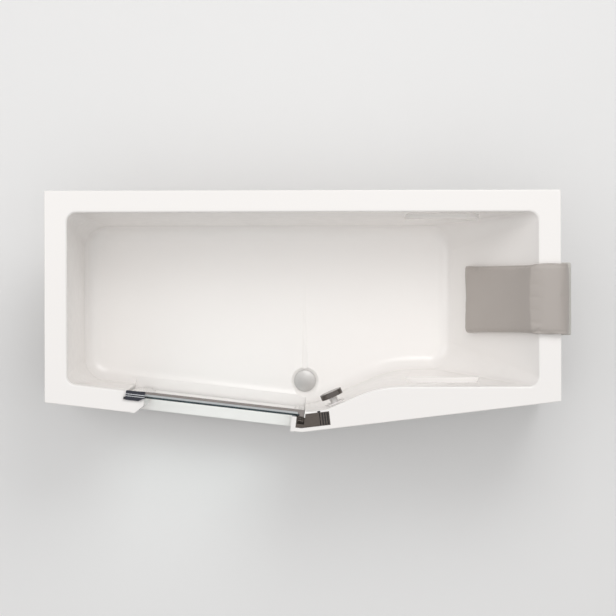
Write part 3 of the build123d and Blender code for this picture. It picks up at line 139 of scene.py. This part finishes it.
def show_mix(tree, share, first, second, output):
    """Sends a mix of two shaders to a tree's output node."""
    node = tree.nodes.new("ShaderNodeMixShader")
    tree.links.new(share, node.inputs["Fac"])
    tree.links.new(first, node.inputs[1])
    tree.links.new(second, node.inputs[2])
    tree.links.new(node.outputs["Shader"], tree.nodes[output].inputs["Surface"])


class Finish:
    """A new material with its main shader, and short ways to add nodes to it."""

    def __init__(self, name, colour, roughness, metallic=0.0):
        self.material = bpy.data.materials.new(name)
        self.material.use_nodes = True
        self.tree = self.material.node_tree
        self.nodes = self.tree.nodes
        self.links = self.tree.links
        self.shader = self.nodes["Principled BSDF"]
        self.set("Base Color", (*colour, 1.0))
        self.set("Roughness", roughness)
        self.set("Metallic", metallic)
        self.place = self.nodes.new("ShaderNodeTexCoord").outputs["Object"]

    def set(self, socket, value):
        self.shader.inputs[socket].default_value = value

    def stretched(self, x, y, z):
        """Object coordinates scaled differently along each axis, for grain with a direction."""
        mapping = self.nodes.new("ShaderNodeMapping")
        mapping.inputs["Scale"].default_value = (x, y, z)
        self.links.new(self.place, mapping.inputs["Vector"])
        return mapping.outputs["Vector"]

    def noise(self, scale, detail=3.0, place=None):
        """Soft random pattern."""
        node = self.nodes.new("ShaderNodeTexNoise")
        node.inputs["Scale"].default_value = scale
        node.inputs["Detail"].default_value = detail
        self.links.new(place or self.place, node.inputs["Vector"])
        return node.outputs["Fac"]

    def cells(self, scale, place=None):
        """Distance to the nearest of many scattered points, for grain and pebbling."""
        node = self.nodes.new("ShaderNodeTexVoronoi")
        node.inputs["Scale"].default_value = scale
        self.links.new(place or self.place, node.inputs["Vector"])
        return node.outputs["Distance"]

    def bands(self, scale, direction):
        """Even bands that follow each other along one axis."""
        node = self.nodes.new("ShaderNodeTexWave")
        node.inputs["Scale"].default_value = scale
        node.bands_direction = direction
        self.links.new(self.place, node.inputs["Vector"])
        return node.outputs["Fac"]

    def vary_roughness(self, value, low, high):
        """Roughness that drifts between two levels with a pattern."""
        self.links.new(spread(self.tree, value, low, high), self.shader.inputs["Roughness"])

    def vary_colour(self, value, dark, light):
        """Colour that drifts between two tones with a pattern."""
        node = self.nodes.new("ShaderNodeMix")
        node.data_type = "RGBA"
        node.inputs["A"].default_value = (*dark, 1.0)
        node.inputs["B"].default_value = (*light, 1.0)
        self.links.new(value, node.inputs["Factor"])
        self.links.new(node.outputs["Result"], self.shader.inputs["Base Color"])

    def bump(self, value, height):
        """Relief of a real height in metres."""
        node = self.nodes.new("ShaderNodeBump")
        node.inputs["Strength"].default_value = 1.0
        node.inputs["Distance"].default_value = height
        self.links.new(value, node.inputs["Height"])
        self.links.new(node.outputs["Normal"], self.shader.inputs["Normal"])


# Finishes of the object's parts
def acrylic():
    """Cast white acrylic: a barely warm white with a soft gloss and faint waviness."""
    finish = Finish("bath acrylic", (0.905, 0.878, 0.855), 0.22)
    finish.set("Coat Weight", 0.2)
    finish.set("Coat Roughness", 0.12)
    cloud = finish.noise(3.0)
    finish.vary_colour(cloud, (0.90, 0.872, 0.848), (0.91, 0.884, 0.862))
    finish.vary_roughness(finish.noise(40.0), 0.18, 0.26)
    finish.bump(finish.noise(12.0, 1.0), 0.0002)
    return finish.material


def frame_white():
    """White coated surround of the door opening, a little flatter than the acrylic."""
    finish = Finish("door frame coating", (0.87, 0.845, 0.825), 0.3)
    finish.vary_roughness(finish.noise(60.0), 0.24, 0.36)
    finish.vary_colour(finish.noise(5.0), (0.86, 0.835, 0.815), (0.88, 0.855, 0.835))
    finish.bump(finish.cells(900.0), 0.00002)
    return finish.material


def apron_white():
    """Glossy white panel sheet."""
    finish = Finish("apron sheet", (0.87, 0.85, 0.83), 0.15)
    finish.set("Coat Weight", 0.4)
    finish.vary_roughness(finish.noise(30.0), 0.12, 0.2)
    finish.vary_colour(finish.noise(2.0), (0.865, 0.84, 0.82), (0.88, 0.86, 0.84))
    finish.bump(finish.noise(8.0, 1.0), 0.0002)
    return finish.material


def door_glass():
    """Clear safety glass whose cut edges look deep teal, and that lets light from lamps through."""
    finish = Finish("door glass", GLASS_FACE, 0.02)
    finish.set("Transmission Weight", 1.0)
    finish.set("IOR", 1.5)
    coordinates = finish.nodes.new("ShaderNodeTexCoord")
    facing = finish.nodes.new("ShaderNodeSeparateXYZ")
    finish.links.new(coordinates.outputs["Normal"], facing.inputs["Vector"])
    upward = maths(finish.tree, "ABSOLUTE", facing.outputs["Z"])
    finish.vary_colour(upward, GLASS_FACE, GLASS_EDGE)
    clear = finish.nodes.new("ShaderNodeBsdfTransparent")
    clear.inputs["Color"].default_value = (*GLASS_LAMP_LIGHT, 1.0)
    to_lamp = finish.nodes.new("ShaderNodeLightPath").outputs["Is Shadow Ray"]
    glass = finish.shader.outputs["BSDF"]
    show_mix(finish.tree, to_lamp, glass, clear.outputs["BSDF"], "Material Output")
    return finish.material


def drawn_metal(name, dark, light, grain):
    """Polished metal with fine drawing lines along one direction."""
    finish = Finish(name, light, 0.22, 1.0)
    lines = finish.noise(1.0, 4.0, finish.stretched(*grain))
    finish.vary_roughness(lines, 0.16, 0.30)
    finish.vary_colour(finish.noise(20.0), dark, light)
    finish.bump(lines, 0.00001)
    return finish.material


def pale_strip():
    """Pale translucent sealing strip."""
    finish = Finish("pale strip", (0.44, 0.46, 0.46), 0.4)
    finish.vary_roughness(finish.noise(80.0), 0.3, 0.5)
    finish.vary_colour(finish.noise(15.0), (0.40, 0.425, 0.43), (0.50, 0.52, 0.52))
    return finish.material


def polished(name, colour, roughness):
    """Plated metal: near mirror, with faint smears."""
    finish = Finish(name, colour, roughness, 1.0)
    finish.vary_roughness(finish.noise(50.0, 5.0), roughness * 0.7, roughness * 1.6)
    finish.bump(finish.noise(35.0, 1.0), 0.00003)
    return finish.material


def lock_metal():
    """Brushed brown-grey steel of the lock."""
    finish = Finish("lock metal", (0.14, 0.12, 0.105), 0.28, 1.0)
    lines = finish.noise(1.0, 4.0, finish.stretched(60.0, 1500.0, 60.0))
    finish.vary_roughness(lines, 0.2, 0.4)
    finish.vary_colour(lines, (0.10, 0.085, 0.075), (0.18, 0.155, 0.14))
    finish.bump(lines, 0.00001)
    return finish.material


def moulded(name, colour, roughness):
    """Moulded plastic or rubber with a fine spark-eroded texture."""
    finish = Finish(name, colour, roughness)
    dark = tuple(0.9 * part for part in colour)
    finish.vary_colour(finish.noise(25.0), dark, colour)
    finish.vary_roughness(finish.noise(120.0), roughness * 0.85, min(1.0, roughness * 1.2))
    finish.bump(finish.cells(1500.0), 0.00004)
    return finish.material


def board():
    """Particle board under the basin."""
    finish = Finish("base board", (0.42, 0.31, 0.19), 0.8)
    chips = finish.cells(260.0, finish.stretched(1.0, 2.2, 1.0))
    finish.vary_colour(chips, (0.50, 0.38, 0.24), (0.30, 0.21, 0.12))
    finish.bump(chips, 0.0003)
    return finish.material


def zinc_steel():
    """Galvanised steel with soft spangle."""
    finish = Finish("zinc steel", (0.55, 0.56, 0.58), 0.38, 1.0)
    spangle = finish.cells(90.0)
    finish.vary_colour(spangle, (0.48, 0.49, 0.51), (0.62, 0.63, 0.65))
    finish.vary_roughness(spangle, 0.3, 0.5)
    finish.bump(finish.noise(300.0), 0.00003)
    return finish.material


def cushion_skin():
    """Taupe grey cushion skin with a fine pebble grain and soft colour drift."""
    finish = Finish("cushion skin", (0.43, 0.39, 0.36), 0.5)
    pebbles = finish.cells(700.0)
    finish.vary_colour(finish.noise(8.0, 2.0), (0.42, 0.38, 0.35), (0.44, 0.40, 0.37))
    finish.vary_roughness(pebbles, 0.42, 0.58)
    finish.set("Sheen Weight", 0.15)
    finish.bump(pebbles, 0.00012)
    return finish.material


def hem_cloth():
    """Pale woven cloth of the cushion's weighted hem."""
    finish = Finish("hem cloth", (0.66, 0.64, 0.60), 0.85)
    threads = maths(finish.tree, "MULTIPLY", finish.bands(500.0, "Z"), finish.bands(500.0, "Y"))
    finish.vary_colour(threads, (0.56, 0.54, 0.50), (0.72, 0.70, 0.66))
    finish.bump(threads, 0.0002)
    finish.set("Sheen Weight", 0.2)
    return finish.material


FINISHES = {
    "acrylic": acrylic(),
    "frame_white": frame_white(),
    "apron_white": apron_white(),
    "door_glass": door_glass(),
    "door_profile": drawn_metal(
        "bright profile", (0.72, 0.71, 0.70), (0.82, 0.81, 0.80), (900.0, 900.0, 30.0)
    ),
    "top_rail": drawn_metal(
        "top rail metal", (0.26, 0.235, 0.225), (0.36, 0.325, 0.31), (30.0, 900.0, 900.0)
    ),
    "knob_metal": polished("knob metal", (0.15, 0.135, 0.125), 0.2),
    "dark_steel": polished("dark steel", (0.05, 0.05, 0.06), 0.2),
    "pale_strip": pale_strip(),
    "hinge_chrome": polished("dark hinge chrome", (0.06, 0.062, 0.075), 0.12),
    # Bright metal for the hinge cap's painted highlights
    "cap_painted_highlight": polished("cap painted highlight", (0.80, 0.81, 0.82), 0.2),
    "chrome": polished("satin chrome", (0.58, 0.565, 0.55), 0.42),
    "lock_metal": lock_metal(),
    "black_plastic": moulded("black plastic", (0.02, 0.02, 0.02), 0.5),
    "bush_plastic": moulded("bush plastic", (0.60, 0.60, 0.58), 0.45),
    "seal_rubber": moulded("seal rubber", (0.28, 0.29, 0.30), 0.6),
    "gasket_rubber": moulded("gasket rubber", (0.03, 0.03, 0.03), 0.7),
    "waste_plastic": moulded("waste plastic", (0.66, 0.66, 0.64), 0.4),
    "cable_sheath": moulded("cable sheath", (0.04, 0.04, 0.045), 0.5),
    "board": board(),
    "zinc_steel": zinc_steel(),
    "foot_rubber": moulded("foot rubber", (0.025, 0.025, 0.025), 0.75),
    "cushion": cushion_skin(),
    "cushion_hem": hem_cloth(),
}


def paint_nodes():
    """Gives every CAD node the finish of its slot."""
    for part in frame["record"]["subparts"]:
        node = frame["nodes"][part["node"]]
        for slot in node.material_slots:
            slot.material = FINISHES[part["material_slot"]]


# Mesh helpers
def merged_copy(node):
    """A copy of a CAD node's mesh with its loose triangles joined."""
    shape = bmesh.new()
    shape.from_mesh(frame["nodes"][node].data)
    bmesh.ops.remove_doubles(shape, verts=shape.verts, dist=MERGE_DISTANCE)
    bmesh.ops.dissolve_limit(
        shape, angle_limit=FLAT_ANGLE, verts=shape.verts, edges=shape.edges
    )
    return shape


def round_edges(shape, edges, radius, segments):
    """Rounds some edges of a mesh."""
    bmesh.ops.bevel(
        shape,
        geom=edges,
        offset=radius,
        offset_type="OFFSET",
        segments=segments,
        profile=0.5,
        affect="EDGES",
        material=-1,
    )


def finished(shape, name, slot, body, smooth=True):
    """An object made from a bmesh, with its finish and the body it moves with."""
    mesh = bpy.data.meshes.new(name)
    shape.to_mesh(mesh)
    shape.free()
    piece = bpy.data.objects.new(name, mesh)
    bpy.context.collection.objects.link(piece)
    for face in mesh.polygons:
        face.use_smooth = smooth
    mesh.materials.append(FINISHES[slot])
    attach(piece, body)
    return piece


def apply_modifiers(piece):
    """Bakes the modifiers of a piece into its mesh."""
    graph = bpy.context.evaluated_depsgraph_get()
    mesh = bpy.data.meshes.new_from_object(piece.evaluated_get(graph))
    piece.modifiers.clear()
    piece.data = mesh


# Pieces whose shape goes beyond the CAD model's
def hinge_cap():
    """The dark cap over the door's upper hinge, with two painted highlight lines on its upward
    faces.
    """
    shape = merged_copy("hinge_cap")
    inward = Vector((-math.sin(DOOR_TURN), math.cos(DOOR_TURN), 0.0))
    reach = [vertex.co.dot(inward) for vertex in shape.verts]
    middle = (min(reach) + max(reach)) / 2
    for line in CAP_HIGHLIGHT_LINES:
        for side in (-CAP_HIGHLIGHT_WIDTH / 2, CAP_HIGHLIGHT_WIDTH / 2):
            bmesh.ops.bisect_plane(
                shape,
                geom=shape.verts[:] + shape.edges[:] + shape.faces[:],
                plane_co=inward * (middle + line + side),
                plane_no=inward,
            )
    shape.normal_update()
    # Upward faces on the two lines take the bright metal: painted highlights of the lamps'
    # reflection
    for face in shape.faces:
        place = face.calc_center_median().dot(inward) - middle
        beside = min(abs(place - line) for line in CAP_HIGHLIGHT_LINES)
        if face.normal.z > CAP_HIGHLIGHT_FACING_UP and beside < CAP_HIGHLIGHT_WIDTH / 2:
            face.material_index = 1
    piece = finished(shape, "hinge_cap_painted_highlight", "hinge_chrome", "bath", smooth=False)
    piece.data.materials.append(FINISHES["cap_painted_highlight"])
    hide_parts("hinge_cap")


def lock_lever():
    """The lock's lever, with the floors of its grip grooves painted black as shade."""
    shape = merged_copy("lock_lever")
    shape.normal_update()
    top = max(vertex.co.z for vertex in shape.verts)
    least, most = SHADED_GROOVE_DEPTHS
    for face in shape.faces:
        depth = top - face.calc_center_median().z
        # Groove floors take the black finish: painted shade in the grooves
        if face.normal.z > SHADED_GROOVE_FACING_UP and least < depth < most:
            face.material_index = 1
    piece = finished(shape, "lock_lever_shaded_grip", "lock_metal", "lock_lever", smooth=False)
    piece.data.materials.append(FINISHES["black_plastic"])
    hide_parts("lock_lever")


def cushion():
    """The draped cushion: remeshed, swollen by cloth with pressure, and capped."""
    shape = merged_copy("cushion_pad")
    corners = [
        edge
        for edge in shape.edges
        if abs(edge.calc_length() - CUSHION_THICKNESS) < THICKNESS_TOLERANCE
    ]
    round_edges(shape, corners, CUSHION_CORNER, 5)
    piece = finished(shape, "cushion", "cushion", "headrest")
    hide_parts("cushion_pad")
    remesh = piece.modifiers.new("remesh", "REMESH")
    remesh.mode = "VOXEL"
    remesh.voxel_size = CUSHION_VOXEL
    remesh.use_smooth_shade = True
    apply_modifiers(piece)
    for vertex in piece.data.vertices:
        vertex.co -= vertex.normal * CUSHION_SHRINK
    swell(piece)
    rounded = piece.modifiers.new("rounded", "SUBSURF")
    rounded.levels = rounded.render_levels = 1
    apply_modifiers(piece)
    sink_seam(piece)
    return piece


def swell(piece):
    """Fills a cushion with air by cloth simulation, and caps how far it may swell."""
    start = [vertex.co.copy() for vertex in piece.data.vertices]
    cloth = piece.modifiers.new("cloth", "CLOTH")
    cloth.settings.use_pressure = True
    cloth.settings.uniform_pressure_force = CUSHION_PRESSURE
    cloth.settings.effector_weights.gravity = 0.0
    cloth.point_cache.frame_start = 1
    cloth.point_cache.frame_end = CUSHION_FRAMES
    for number in range(1, CUSHION_FRAMES + 1):
        bpy.context.scene.frame_set(number)
    apply_modifiers(piece)
    for vertex, before in zip(piece.data.vertices, start):
        move = vertex.co - before
        if move.length > CUSHION_SWELL:
            vertex.co = before + move * (CUSHION_SWELL / move.length)


def sink_seam(piece):
    """Draws in a stitched seam along the cushion's sides and its lower end."""
    low, high = (Vector(corner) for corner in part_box("cushion_pad"))
    uphill = Vector((math.sin(CUSHION_SLOPE), 0.0, math.cos(CUSHION_SLOPE)))
    lower_end = min(vertex.co.dot(uphill) for vertex in piece.data.vertices)
    normals = [vertex.normal.copy() for vertex in piece.data.vertices]
    for vertex, normal in zip(piece.data.vertices, normals):
        if abs(normal.y) > SIDEWAYS_LIMIT or normal.dot(uphill) < -SIDEWAYS_LIMIT:
            continue
        inside = min(vertex.co.y - low.y, high.y - vertex.co.y, vertex.co.dot(uphill) - lower_end)
        near = math.exp(-(((inside - SEAM_INSIDE) / SEAM_HALF_WIDTH) ** 2))
        vertex.co -= normal * SEAM_DEPTH * near


def cushion_hem():
    """The pale weighted hem, a soft block with rounded edges."""
    shape = merged_copy("cushion_weight")
    round_edges(shape, shape.edges[:], HEM_EDGE, 4)
    piece = finished(shape, "cushion_hem", "cushion_hem", "headrest")
    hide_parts("cushion_weight")
    return piece


# Studio
def studio_floor():
    """Plain pale floor that catches the object's shadow."""
    shape = bmesh.new()
    bmesh.ops.create_grid(shape, x_segments=1, y_segments=1, size=FLOOR_REACH)
    mesh = bpy.data.meshes.new("floor")
    shape.to_mesh(mesh)
    shape.free()
    floor = bpy.data.objects.new("floor", mesh)
    bpy.context.collection.objects.link(floor)
    mesh.materials.append(Finish("floor paint", FLOOR_COLOUR, 0.9).material)


def lamp(name, place, aim, power, size):
    """A soft square lamp that points at a place."""
    data = bpy.data.lights.new(name, "AREA")
    data.energy = power
    data.size = size
    lamp_object = bpy.data.objects.new(name, data)
    lamp_object.location = place
    lamp_object.rotation_euler = (Vector(aim) - Vector(place)).to_track_quat("-Z", "Y").to_euler()
    bpy.context.collection.objects.link(lamp_object)


def studio_light():
    """Light from all round that is strongest overhead, a soft key and a weak fill."""
    world = bpy.data.worlds.new("studio")
    bpy.context.scene.world = world
    world.use_nodes = True
    tree = world.node_tree
    coordinates = tree.nodes.new("ShaderNodeTexCoord")
    direction = tree.nodes.new("ShaderNodeSeparateXYZ")
    tree.links.new(coordinates.outputs["Generated"], direction.inputs["Vector"])
    above = maths(tree, "MAXIMUM", direction.outputs["Z"], 0.0)
    climb = maths(tree, "POWER", above, SKY_FALL)
    sky = tree.nodes["Background"]
    sky.inputs["Color"].default_value = (1.0, 1.0, 1.0, 1.0)
    tree.links.new(spread(tree, climb, SKY_HORIZON, SKY_OVERHEAD), sky.inputs["Strength"])
    backdrop = tree.nodes.new("ShaderNodeBackground")
    backdrop.inputs["Color"].default_value = (*BACKDROP_COLOUR, 1.0)
    ray = tree.nodes.new("ShaderNodeLightPath")
    seen = ray.outputs["Is Camera Ray"]
    for kind in ("Is Glossy Ray", "Is Transmission Ray"):
        seen = maths(tree, "MAXIMUM", seen, ray.outputs[kind])
    show_mix(tree, seen, sky.outputs["Background"], backdrop.outputs["Background"], "World Output")
    lamp("key", KEY_PLACE, KEY_AIM, KEY_POWER, KEY_SIZE)
    lamp("fill", FILL_PLACE, FILL_AIM, FILL_POWER, FILL_SIZE)


def camera():
    """The camera straight above, as the photograph has it."""
    data = bpy.data.cameras.new("camera")
    data.lens = CAMERA_LENS
    data.sensor_width = 36.0
    view = bpy.data.objects.new("camera", data)
    view.location = (CAMERA_X, CAMERA_Y, RIM_HEIGHT + CAMERA_ABOVE_RIM)
    view.rotation_euler = (0.0, 0.0, CAMERA_ROLL)
    bpy.context.collection.objects.link(view)
    bpy.context.scene.camera = view


bpy.context.scene.view_settings.view_transform = "Standard"
camera()
studio_light()
studio_floor()
paint_nodes()
hinge_cap()
lock_lever()
cushion()
cushion_hem()
